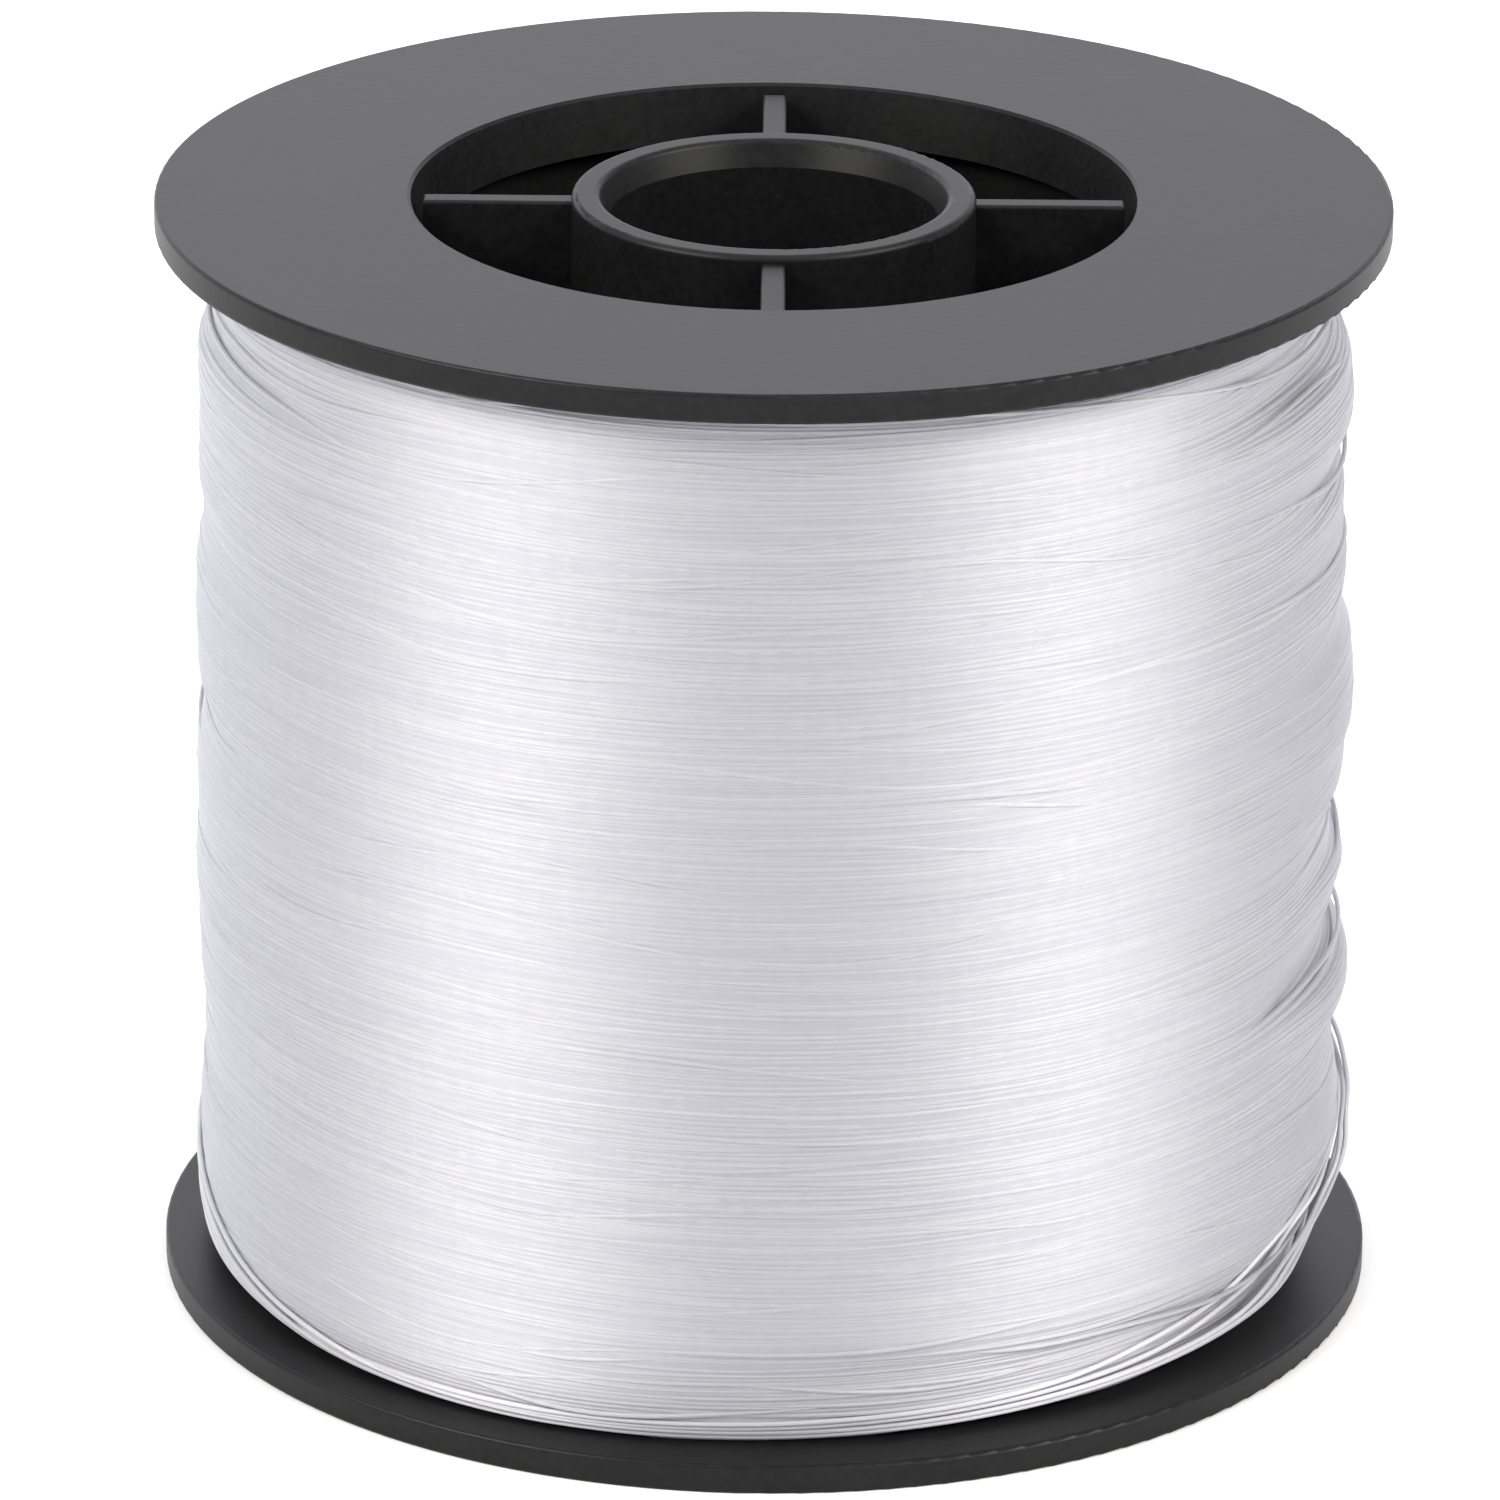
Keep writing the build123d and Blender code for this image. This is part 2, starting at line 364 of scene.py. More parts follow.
def wound_turns_tree(surface):
    """Turns of line wound round the pack, one strand from First Height up."""
    bench, given, result = new_tree(
        "Wound turns",
        "GeometryNodeTree",
        {
            "First Turn": ("Float", 0.0),
            "Turns": ("Float", 10.0),
            "First Height": ("Float", winding_low.z),
            "Spacing": ("Float", DIAMETER),
            "Depth": ("Float", 0.2 * MM),
            "Line Radius": ("Float", DIAMETER / 2),
            "Sides": ("Int", 6),
            "Segments": ("Int", 128),
            "Hand": ("Float", 1.0),
            "Wander": ("Float", 0.05 * MM),
            "Wander Waves": ("Float", 1.5),
            "Wander Change": ("Float", 0.7),
            "Sink": ("Float", 0.05 * MM),
            "Seed": ("Float", 0.0),
            "Material": ("Material", None),
        },
        {"Geometry": "Geometry"},
    )
    spiral = bench.add(
        "GeometryNodeCurveSpiral",
        {
            "Resolution": given["Segments"],
            "Rotations": given["Turns"],
            "Start Radius": 1.0,
            "End Radius": 1.0,
            "Height": 0.0,
        },
    )
    along = bench.add("GeometryNodeSplineParameter").outputs["Factor"]
    turn = bench.math("ADD", given["First Turn"], bench.math("MULTIPLY", along, given["Turns"]))
    x, y, _ = bench.separate(bench.add("GeometryNodeInputPosition").outputs[0])
    direction = bench.combine(x, bench.math("MULTIPLY", y, given["Hand"]), 0.0)
    level = bench.math("ADD", given["First Height"], bench.math("MULTIPLY", turn, given["Spacing"]))
    waves = bench.scale(direction, given["Wander Waves"])
    place = bench.raised(waves, bench.math("MULTIPLY", turn, given["Wander Change"]))
    stray = bench.math("MULTIPLY", bench.noise(place, 1.0, given["Seed"]), given["Wander"])
    shape = bench.add("GeometryNodeGroup", {"Direction": direction, "Height": level}, node_tree=surface)
    height = bench.math("ADD", bench.math("ADD", level, stray), shape.outputs["Drift"])
    height = bench.math("MAXIMUM", height, bench.math("ADD", given["Line Radius"], winding_low.z))
    height = bench.math("MINIMUM", height, bench.math("SUBTRACT", winding_high.z, given["Line Radius"]))
    own = bench.raised(direction, bench.math("MULTIPLY", turn, 1.9))
    sunk = bench.noise(own, 3.6, bench.math("ADD", given["Seed"], 5.0))
    sunk = bench.math("MULTIPLY", sunk, given["Sink"])
    radius = bench.math("SUBTRACT", bench.math("SUBTRACT", shape.outputs["Radius"], given["Depth"]), sunk)
    spot = bench.raised(bench.scale(direction, radius), height)
    moved = bench.add("GeometryNodeSetPosition", {"Geometry": spiral.outputs[0], "Position": spot})
    tone = bench.math("MULTIPLY", bench.noise(own, 0.8, 2.0, 2.0), 0.5)
    tone = bench.math("ADD", 0.5, tone, clamp=True)
    sweep_line(bench, moved.outputs[0], tone, given, result)
    return bench.tree


def winding_core_tree(surface):
    """Shapes a plain ring into the pack under the outer turns."""
    bench, given, result = new_tree(
        "Winding core",
        "GeometryNodeTree",
        {
            "Geometry": ("Geometry", None),
            "Depth": ("Float", 0.2 * MM),
            "Material": ("Material", None),
        },
        {"Geometry": "Geometry"},
    )
    x, y, z = bench.separate(bench.add("GeometryNodeInputPosition").outputs[0])
    flat = bench.combine(x, y, 0.0)
    direction = bench.vector("NORMALIZE", flat)
    shape = bench.add("GeometryNodeGroup", {"Direction": direction, "Height": z}, node_tree=surface)
    radius = bench.math("SUBTRACT", shape.outputs["Radius"], given["Depth"])
    outer = bench.math("GREATER_THAN", bench.vector("LENGTH", flat), (BARREL_RADIUS + WINDING_RADIUS) / 2)
    spot = bench.raised(bench.scale(direction, radius), z)
    moved = bench.add(
        "GeometryNodeSetPosition",
        {"Geometry": given["Geometry"], "Selection": outer, "Position": spot},
    )
    paint(bench, moved.outputs[0], given, result)
    return bench.tree


def line_on_path_tree(surface=None):
    """A length of line along each of an object's splines, with a little waviness of its own.

    Given the winding's surface, the line keeps its path's direction and height, and its path's tilt is how
    far out from that surface its middle runs, in mm.
    """
    bench, given, result = new_tree(
        "Line on a path",
        "GeometryNodeTree",
        {
            "Geometry": ("Geometry", None),
            "Step": ("Float", 0.6 * MM),
            "Line Radius": ("Float", DIAMETER / 2),
            "Sides": ("Int", 8),
            "Waviness": ("Float", 0.03 * MM),
            "Seed": ("Float", 0.0),
            "Material": ("Material", None),
        },
        {"Geometry": "Geometry"},
    )
    even = bench.add(
        "GeometryNodeResampleCurve", {"Curve": given["Geometry"], "Length": given["Step"]}, mode="LENGTH"
    )
    position = bench.add("GeometryNodeInputPosition").outputs[0]
    wave = bench.add(
        "ShaderNodeTexNoise",
        {"Vector": position, "W": given["Seed"], "Scale": 160.0, "Detail": 1.0},
        noise_dimensions="4D",
    )
    centred = bench.vector("SUBTRACT", wave.outputs["Color"], (0.5, 0.5, 0.5))
    place = {"Geometry": even.outputs[0], "Offset": bench.scale(centred, given["Waviness"])}
    if surface:
        x, y, z = bench.separate(position)
        direction = bench.vector("NORMALIZE", bench.combine(x, y, 0.0))
        shape = bench.add("GeometryNodeGroup", {"Direction": direction, "Height": z}, node_tree=surface)
        standing = bench.math("MULTIPLY", bench.add("GeometryNodeInputCurveTilt").outputs[0], MM)
        radius = bench.math("ADD", shape.outputs["Radius"], standing)
        place["Position"] = bench.raised(bench.scale(direction, radius), z)
    moved = bench.add("GeometryNodeSetPosition", place)
    sweep_line(bench, moved.outputs[0], wave.outputs[0], given, result)
    return bench.tree


# ---------------------------------------------------------------- materials


# The darkest and lightest shade of the plastic's mottle, as shares of its colour, and how far its roughness
# spreads, then the same for the nylon's streaks, which mix a random tone along each turn with painted shade
# between the turns and painted glints on them
MOTTLE_SHADES = (0.7, 1.5)
ROUGHNESS_SPREAD = 0.1
PAINTED_SHADE_STREAK = (0.86, 0.86, 0.88)
PAINTED_GLINT_STREAK = 1.06
NYLON_ROUGHNESS_SPREAD = 0.12
# How strong the streaks of random tone, painted shade and painted glints are on wound line and on loose line
WOUND_CONTRAST = 1.3
LOOSE_CONTRAST = 0.4


def moulded_grain_group():
    """Fine moulded texture: a mottle for colour and roughness, and the normal of its grain."""
    bench, given, result = new_tree(
        "Moulded grain",
        "ShaderNodeTree",
        {
            "Grain Size": ("Float", 0.45 * MM),
            "Grain Depth": ("Float", 0.006 * MM),
            "Strength": ("Float", 1.0),
        },
        {"Mottle": "Float", "Normal": "Vector"},
    )
    where = bench.add("ShaderNodeTexCoord").outputs["Object"]
    scale = bench.math("DIVIDE", 1.0, given["Grain Size"])
    fine = bench.add("ShaderNodeTexNoise", {"Vector": where, "Scale": scale, "Detail": 3.0, "Roughness": 0.6})
    broad = bench.add("ShaderNodeTexNoise", {"Vector": where, "Scale": 220.0, "Detail": 3.0})
    fine_part = bench.math("MULTIPLY", fine.outputs[0], 0.65)
    broad_part = bench.math("MULTIPLY", broad.outputs[0], 0.35)
    bump = bench.add(
        "ShaderNodeBump",
        {"Strength": given["Strength"], "Distance": given["Grain Depth"], "Height": fine.outputs[0]},
    )
    bench.join(bench.math("ADD", fine_part, broad_part), result.inputs["Mottle"])
    bench.join(bump.outputs[0], result.inputs["Normal"])
    return bench.tree


def new_material(name):
    """An empty material with a Principled shader, on a bench."""
    material = bpy.data.materials.new(name)
    material.use_nodes = True
    tree = material.node_tree
    tree.nodes.clear()
    bench = Bench(tree)
    shader = bench.add("ShaderNodeBsdfPrincipled")
    output = bench.add("ShaderNodeOutputMaterial", {"Surface": shader.outputs[0]})
    output.location = (300, 0)
    return material, bench, shader


def plastic_material(name, grain, settings, roughness_shift=0.0, depth_share=1.0):
    """Black moulded plastic."""
    material, bench, shader = new_material(name)
    finish = bench.add(
        "ShaderNodeGroup",
        {"Grain Size": settings.grain_size, "Grain Depth": settings.grain_depth * depth_share},
        node_tree=grain,
    )
    mottle = finish.outputs["Mottle"]
    dark, light = ([share * c for c in settings.colour[:3]] + [1] for share in MOTTLE_SHADES)
    bench.join(bench.blend(bench.smooth(mottle, 0.3, 0.7), dark, light), shader.inputs["Base Color"])
    mean = settings.roughness + roughness_shift
    rough = bench.math("ADD", mean - ROUGHNESS_SPREAD / 2, bench.math("MULTIPLY", mottle, ROUGHNESS_SPREAD))
    bench.join(rough, shader.inputs["Roughness"])
    bench.join(finish.outputs["Normal"], shader.inputs["Normal"])
    shader.inputs["IOR"].default_value = 1.28
    return material


def painted_shade_glint_streaks_group():
    """How light or dark a stretch of line looks, from the random tone that it was wound with, long streaks
    that paint shade between turns and glints on them, and fine specks.
    """
    bench, given, result = new_tree(
        "Painted shade and glint streaks",
        "ShaderNodeTree",
        {"Contrast": ("Float", 0.5)},
        {"Shade": "Float", "Mottle": "Float"},
    )
    tone = bench.add("ShaderNodeAttribute", attribute_name="line_tone").outputs["Fac"]
    where = bench.add("ShaderNodeTexCoord").outputs["Object"]
    long_grain = bench.add("ShaderNodeMapping", {"Vector": where, "Scale": (90.0, 90.0, 2600.0)})
    streak = bench.add("ShaderNodeTexNoise", {"Vector": long_grain.outputs[0], "Scale": 1.0, "Detail": 2.0})
    speck = bench.add("ShaderNodeTexNoise", {"Vector": where, "Scale": 1500.0, "Detail": 2.0})
    # The long streaks paint shade and glints along the turns
    streak_part = bench.math("MULTIPLY", streak.outputs[0], 0.4)
    both = bench.math("ADD", bench.math("MULTIPLY", tone, 0.6), streak_part)
    centred = bench.math("MULTIPLY", bench.math("SUBTRACT", both, 0.5), given["Contrast"])
    bench.join(bench.math("ADD", 0.5, centred, clamp=True), result.inputs["Shade"])
    bench.join(speck.outputs[0], result.inputs["Mottle"])
    return bench.tree


def nylon_material(name, colour, settings, contrast, wound=True):
    """Clear white nylon: a milky body colour with long faint streaks of painted shade and painted glints, and
    a silky sheen if it is wound.
    """
    material, bench, shader = new_material(name)
    streaks = bpy.data.node_groups.get("Painted shade and glint streaks") or painted_shade_glint_streaks_group()
    look = bench.add("ShaderNodeGroup", {"Contrast": contrast}, node_tree=streaks)
    # The dark end of the streaks is painted shade between the turns and the light end painted glints, over a
    # random tone of each turn
    dark = [share * c for share, c in zip(PAINTED_SHADE_STREAK, colour)] + [1]
    light = [min(1.0, PAINTED_GLINT_STREAK * c) for c in colour[:3]] + [1]
    bench.join(bench.blend(look.outputs["Shade"], dark, light), shader.inputs["Base Color"])
    rough = bench.math("MULTIPLY", look.outputs["Mottle"], NYLON_ROUGHNESS_SPREAD)
    rough = bench.math("ADD", settings.roughness - NYLON_ROUGHNESS_SPREAD / 2, rough)
    bench.join(rough, shader.inputs["Roughness"])
    shader.inputs["IOR"].default_value = 1.53
    shader.inputs["Metallic"].default_value = settings.lustre
    if wound:
        around = bench.add("ShaderNodeTangent", direction_type="RADIAL", axis="Z")
        bench.join(around.outputs[0], shader.inputs["Tangent"])
        shader.inputs["Anisotropic"].default_value = settings.silkiness
        shader.inputs["Anisotropic Rotation"].default_value = 0.25
    return material


def tape_material(name):
    """Thin clear film with faint haze."""
    material, bench, shader = new_material(name)
    where = bench.add("ShaderNodeTexCoord").outputs["Object"]
    haze = bench.add("ShaderNodeTexNoise", {"Vector": where, "Scale": 260.0, "Detail": 3.0})
    rough = bench.math("ADD", 0.12, bench.math("MULTIPLY", haze.outputs[0], 0.16))
    bench.join(rough, shader.inputs["Roughness"])
    shader.inputs["Base Color"].default_value = (0.62, 0.62, 0.63, 1)
    shader.inputs["Alpha"].default_value = 0.20
    return material


# ---------------------------------------------------------------- building helpers


def piece_object(name, mesh):
    """A new object that holds a mesh, linked to the scene."""
    piece = bpy.data.objects.new(name, mesh)
    bpy.context.scene.collection.objects.link(piece)
    return piece


def apply_tree(piece, tree, values):
    """Runs a node tree on a piece as a modifier and keeps its result as the piece's plain mesh."""
    modifier = piece.modifiers.new(tree.name, "NODES")
    modifier.node_group = tree
    sockets = {
        item.name: item.identifier
        for item in tree.interface.items_tree
        if item.item_type == "SOCKET" and item.in_out == "INPUT"
    }
    for label, value in values.items():
        modifier[sockets[label]] = value
    depsgraph = bpy.context.evaluated_depsgraph_get()
    depsgraph.update()
    mesh = bpy.data.meshes.new_from_object(
        piece.evaluated_get(depsgraph), preserve_all_data_layers=True, depsgraph=depsgraph
    )
    name = piece.name
    old = piece.data
    bpy.data.objects.remove(piece)
    (bpy.data.curves if isinstance(old, bpy.types.Curve) else bpy.data.meshes).remove(old)
    if not mesh.polygons:
        raise RuntimeError(f"{name} came out empty")
    mesh.name = name
    return piece_object(name, mesh)


def finish_piece(piece, slot, *replaced):
    """Attaches a finished piece to the body, and hides the parts that it replaces."""
    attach(piece, BODY)
    if replaced:
        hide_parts(*replaced)


def lathe_mesh(name, profile, steps):
    """A closed ring with this (radius, height) profile, counter-clockwise in the X-Z half plane."""
    bm = bmesh.new()
    rings = []
    for radius, height in profile:
        ring = []
        for i in range(steps):
            a = math.tau * i / steps
            ring.append(bm.verts.new((radius * math.cos(a), radius * math.sin(a), height)))
        rings.append(ring)
    for j, ring in enumerate(rings):
        above = rings[(j + 1) % len(rings)]
        for i in range(steps):
            k = (i + 1) % steps
            bm.faces.new((ring[i], ring[k], above[k], above[i]))
    bmesh.ops.recalc_face_normals(bm, faces=bm.faces)
    mesh = bpy.data.meshes.new(name)
    bm.to_mesh(mesh)
    bm.free()
    return mesh


def polar(azimuth, radius, height):
    """A point from its azimuth in degrees, and its radius and height in mm."""
    a = math.radians(azimuth)
    return (radius * MM * math.cos(a), radius * MM * math.sin(a), height * MM)


def path_curve(name, routes, tilts=None):
    """A curve object with one smooth spline for each route's control points, with their tilts if given."""
    curve = bpy.data.curves.new(name, "CURVE")
    curve.dimensions = "3D"
    for index, route in enumerate(routes):
        spline = curve.splines.new("NURBS")
        spline.points.add(len(route) - 1)
        for i, place in enumerate(route):
            spline.points[i].co = (*place, 1.0)
            spline.points[i].tilt = tilts[index][i] if tilts else 0.0
        spline.order_u = 4
        spline.use_endpoint_u = True
        spline.resolution_u = 8
    return piece_object(name, curve)


def between(table, at):
    """Values between a table's rows, whose first column runs down from high to low."""
    for (a, *low), (b, *high) in zip(table, table[1:]):
        if a >= at >= b:
            share = (a - at) / (a - b)
            return [u + (v - u) * share for u, v in zip(low, high)]
    raise ValueError(f"{at} is outside the table")


# ---------------------------------------------------------------- operators


class SPOOL_OT_plastic(bpy.types.Operator):
    """Gives the flanges, the barrel and the hub their moulded plastic"""

    bl_idname = "spool.plastic"
    bl_label = "Plastic Mouldings"

    def execute(self, context):
        settings = context.scene.spool_plastic
        grain = moulded_grain_group()
        flange = plastic_material("flange_plastic", grain, settings)
        hub = plastic_material("hub_plastic", grain, settings, roughness_shift=0.03, depth_share=0.7)
        for node, material in (
            ("upper_flange", flange), ("lower_flange", flange), ("barrel", hub), ("hub", hub)
        ):
            mesh = NODES[node].data
            mesh.materials.clear()
            mesh.materials.append(material)
        return {"FINISHED"}


class SPOOL_OT_winding(bpy.types.Operator):
    """Winds the line on: the pack, the outer layer of turns, and the turns that ride over it"""

    bl_idname = "spool.winding"
    bl_label = "Wound Line"

    def execute(self, context):
        line = context.scene.spool_line
        nylon = nylon_material("nylon_wound_painted_shade", line.colour, line, WOUND_CONTRAST)
        surface = winding_surface_tree(float(line.seed), line.unevenness)
        radius = line.diameter / 2

        rows, steps = 120, 192
        inset = 0.02 * MM
        low, high = winding_low.z + inset, winding_high.z - inset
        outer = [(WINDING_RADIUS, low + (high - low) * j / rows) for j in range(rows + 1)]
        inner = [(BARREL_RADIUS + inset, high), (BARREL_RADIUS + inset, low)]
        core = piece_object("winding_pack", lathe_mesh("winding_pack", outer + inner, steps))
        core = apply_tree(core, winding_core_tree(surface), {"Depth": PACK_DEPTH * radius, "Material": nylon})
        finish_piece(core, "nylon_line", "line_winding")

        tree = wound_turns_tree(surface)
        span = high - low - 2 * radius
        laid = round(span / (line.diameter * LAID_PITCH))
        spacing = span / laid
        half = laid // 2
        shared = {
            "First Height": low + radius, "Spacing": spacing, "Line Radius": radius,
            "Sides": line.sides, "Segments": line.segments, "Material": nylon,
        }
        laid_values = {"Depth": LAID_DEPTH * radius, "Wander": line.wander, "Seed": 1.0}
        runs = [
            ("laid_turns_low", {"First Turn": 0.0, "Turns": float(half), **laid_values}),
            ("laid_turns_high", {"First Turn": float(half), "Turns": float(laid - half), **laid_values}),
            ("riding_turns", {
                "Turns": float(RIDING_TURNS), "Spacing": span / RIDING_TURNS, "Hand": -1.0,
                "Depth": RIDING_DEPTH * radius, "Wander": line.bunching, "Wander Waves": 1.1,
                "Wander Change": 0.45, "Sink": 0.05 * MM, "Seed": 7.0,
            }),
            ("crossing_turns", {
                "Turns": float(CROSSING_TURNS), "Spacing": span / CROSSING_TURNS, "Hand": 1.0,
                "Depth": CROSSING_DEPTH * radius, "Wander": 5 * line.bunching, "Wander Waves": 0.9,
                "Wander Change": 0.8, "Sink": 0.10 * MM, "Seed": 23.0,
            }),
        ]
        for name, values in runs:
            maker = piece_object(name, bpy.data.meshes.new(name))
            turns = apply_tree(maker, tree, {**shared, **values})
            finish_piece(turns, "nylon_line", "line_winding")
        return {"FINISHED"}


# How the slack turns run, from behind the +X side round the front to behind the -X side:
# (azimuth, height in mm, how far the line's middle stands off the winding's surface in mm)
SLACK_ROUTE = (
    (90, 16.5, -0.60),
    (60, 15.6, -0.35),
    (35, 14.4, 0.05),
    (16, 12.6, 0.35),
    (6, 10.6, 0.60),
    (0, 8.6, 0.78),
    (-2, 7.4, 0.90),
    (-4, 6.3, 1.15),
    (-8, 5.7, 1.40),
    (-13, 5.2, 1.25),
    (-19, 4.5, 1.05),
    (-28, 3.1, 1.00),
    (-42, 2.5, 0.65),
    (-65, 2.1, 0.32),
    (-90, 1.85, 0.20),
    (-125, 1.8, 0.14),
    (-145, 2.1, 0.12),
    (-160, 3.6, 0.10),
    (-175, 6.0, 0.08),
    (-190, 8.6, 0.03),
    (-210, 10.8, -0.20),
    (-230, 12.0, -0.45),
    (-250, 12.4, -0.60),
)
# Each slack turn: (how much of the standing off it takes, mm above the route where it has dropped,
# mm below the route where it has not, distance out in mm, turned by this many degrees)
SLACK_TURNS = (
    (1.00, 0.00, 0.0, 0.00, 0),
    (0.92, 0.10, 1.1, 0.10, 5),
    (0.80, 0.28, 2.5, 0.00, -5),
    (0.35, 0.42, 3.4, 0.12, 12),
    (0.22, 0.58, 4.6, 0.05, -16),
    (0.12, 0.80, 6.2, 0.04, -28),
)


class SPOOL_OT_slack_turns(bpy.types.Operator):
    """Lays the slack turns that have slipped down onto the lower flange"""

    bl_idname = "spool.slack_turns"
    bl_label = "Slack Turns"

    def execute(self, context):
        line = context.scene.spool_line
        # The slack turns take the lighter copy of the nylon colour, which paints light on them
        nylon = nylon_material("nylon_loose_painted_lit", line.painted_lit_colour, line, LOOSE_CONTRAST)
        base = WINDING_RADIUS / MM
        floor = (winding_low.z + line.diameter / 2) / MM
        top, steps = SLACK_ROUTE[0][1], 120
        first, last = SLACK_ROUTE[0][0], SLACK_ROUTE[-1][0]
        azimuths = [first + (last - first) * i / steps for i in range(steps + 1)]
        places = [between(SLACK_ROUTE, azimuth) for azimuth in azimuths]
        # Twice round off the corners between the table's straight stretches.
        for _ in range(2):
            neighbours = zip(places, places[1:], places[2:])
            inner = [[(a + 2 * b + c) / 4 for a, b, c in zip(*three)] for three in neighbours]
            places = [places[0], *inner, places[-1]]
        routes, tilts = [], []
        for stand, lift, lower, out, turned in SLACK_TURNS:
            route, tilt = [], []
            for azimuth, (height, off) in zip(azimuths, places):
                dropped = (top - height) / (top - floor)
                height += lift * dropped - lower * (1 - dropped)
                tilt.append(off * stand + out * dropped if off > 0 else off)
                route.append(polar(azimuth + turned, base, max(floor, height)))
            routes.append(route)
            tilts.append(tilt)
        path = path_curve("slack_turns", routes, tilts)
        surface = bpy.data.node_groups.get("Winding surface")
        surface = surface or winding_surface_tree(float(line.seed), line.unevenness)
        turns = apply_tree(
            path, line_on_path_tree(surface),
            {"Line Radius": line.diameter / 2, "Sides": 8, "Seed": 4.0, "Material": nylon},
        )
        finish_piece(turns, "nylon_line", "loose_turns")
        return {"FINISHED"}


# The stopper knot, in mm: how far in from the stub's outer end it lies, and the scales of its curve across
# and along the stub
KNOT_INSET = 2.3
KNOT_WIDTH = 0.12
KNOT_DEPTH = 0.22
# The line's outer end, by azimuth in degrees: where it starts to come up out of the winding, how long that
# takes, where it starts to bend free of the tape, and its step from one control point to the next
END_START = 62
END_RISE = 14
END_FREE = 114
END_STEP = 2.7
END_POINTS = 24
# The tape: in degrees, where its middle is, how far it reaches each way and how steep its teeth are, and
# in mm, how far it stands off the winding, and how high and how wide it tents over the line
TAPE_AZIMUTH = 90
TAPE_HALF_ARC = 22.0
TAPE_TOOTH = 0.35
TAPE_STANDOFF = 0.16
TENT_HEIGHT = 0.30
TENT_HALF_WIDTH = 0.9


def knot_route(centre, outward):
    """An overhand knot drawn tight, with a short tail at one end and the stub at the other."""
    across = outward.cross((0, 0, 1))
    steps = 28
    knot = []
    for i in range(steps + 1):
        t = math.tau * (0.06 + 0.88 * i / steps)
        u = math.sin(t) + 2 * math.sin(2 * t)
        v = math.cos(t) - 2 * math.cos(2 * t)
        w = -math.sin(3 * t)
        flat = (across * u * KNOT_WIDTH + outward * w * KNOT_DEPTH) * MM
        knot.append(centre + flat + Vector((0, 0, v * KNOT_WIDTH * MM)))
    stub = [centre + outward * (0.8 + 0.4 * i) * MM for i in range(1, 5)]
    tail = [knot[0] - outward * 0.5 * MM, knot[0] - outward * 1.1 * MM + across * 0.3 * MM]
    return [*reversed(tail), *knot, *stub]


def outer_end_route(base, level):
    """The line's outer end, which comes up out of the winding and sticks out from under the tape."""
    route = []
    for i in range(END_POINTS):
        azimuth = END_START + END_STEP * i
        rise = min(1.0, max(0.0, (azimuth - END_START) / END_RISE))
        tip = max(0.0, azimuth - END_FREE) / 10
        radius = base - 0.25 + 0.45 * rise + 0.25 * tip * tip
        height = level + 0.5 * (1 - rise) ** 2 - 0.5 * tip
        route.append(polar(azimuth, radius, height))
    return route


def tape_mesh(name, base, level):
    """A film with toothed ends that lies on the winding and tents over the line's outer end."""
    columns, rows = 60, 40
    half = (tape_high.z - tape_low.z) / 2
    centre = (tape_high.z + tape_low.z) / 2
    bm = bmesh.new()
    grid = []
    for i in range(columns + 1):
        azimuth = TAPE_AZIMUTH - TAPE_HALF_ARC + 2 * TAPE_HALF_ARC * i / columns
        inward = {0: 1, columns: -1}.get(i, 0)
        row = []
        for j in range(rows + 1):
            z = centre - half + 2 * half * j / rows
            away = abs(z - level * MM) / MM
            tent = TENT_HEIGHT * max(0.0, 1 - away / TENT_HALF_WIDTH) ** 1.5
            ripple = 0.03 * math.sin(azimuth * 0.9 + z * 900) + 0.02 * math.sin(z * 2600)
            tooth = TAPE_TOOTH * abs(j % 4 - 2) * inward
            row.append(bm.verts.new(polar(azimuth + tooth, base + TAPE_STANDOFF + tent + ripple, z / MM)))
        grid.append(row)
    for i in range(columns):
        for j in range(rows):
            bm.faces.new((grid[i][j], grid[i + 1][j], grid[i + 1][j + 1], grid[i][j + 1]))
    mesh = bpy.data.meshes.new(name)
    bm.to_mesh(mesh)
    bm.free()
    for face in mesh.polygons:
        face.use_smooth = True
    return mesh


class SPOOL_OT_line_ends(bpy.types.Operator):
    """Makes the stopper knot inside the barrel, the line's outer end and the tape over it"""

    bl_idname = "spool.line_ends"
    bl_label = "Line Ends and Tape"

    def execute(self, context):
        line = context.scene.spool_line
        # The line's ends take the lighter copy of the nylon colour, which paints light on them
        nylon = nylon_material("nylon_ends_painted_lit", line.painted_lit_colour, line, LOOSE_CONTRAST, wound=False)
        tree = line_on_path_tree()
        radius = line.diameter / 2

        middle = (start_low + start_high) / 2
        outward = Vector((middle.x, middle.y, 0)).normalized()
        knot_centre = outward * (start_high.xy.length - KNOT_INSET * MM)
        knot_centre.z = middle.z
        path = path_curve("line_start_knot", [knot_route(knot_centre, outward)])
        piece = apply_tree(
            path, tree, {"Step": 0.12 * MM, "Line Radius": radius, "Waviness": 0.0, "Material": nylon}
        )
        finish_piece(piece, "nylon_line", "line_start")

        base = WINDING_RADIUS / MM
        level = (end_low.z + end_high.z) / 2 / MM
        path = path_curve("line_end_strand", [outer_end_route(base, level)])
        piece = apply_tree(path, tree, {"Line Radius": radius, "Waviness": 0.02 * MM, "Material": nylon})
        finish_piece(piece, "nylon_line", "line_end")

        film = piece_object("end_tape_film", tape_mesh("end_tape_film", base, level))
        film.data.materials.append(tape_material("clear_tape"))
        shell = film.modifiers.new("Film thickness", "SOLIDIFY")
        shell.thickness = 0.06 * MM
        shell.offset = 1.0
        finish_piece(film, "clear_tape", "end_tape")
        return {"FINISHED"}


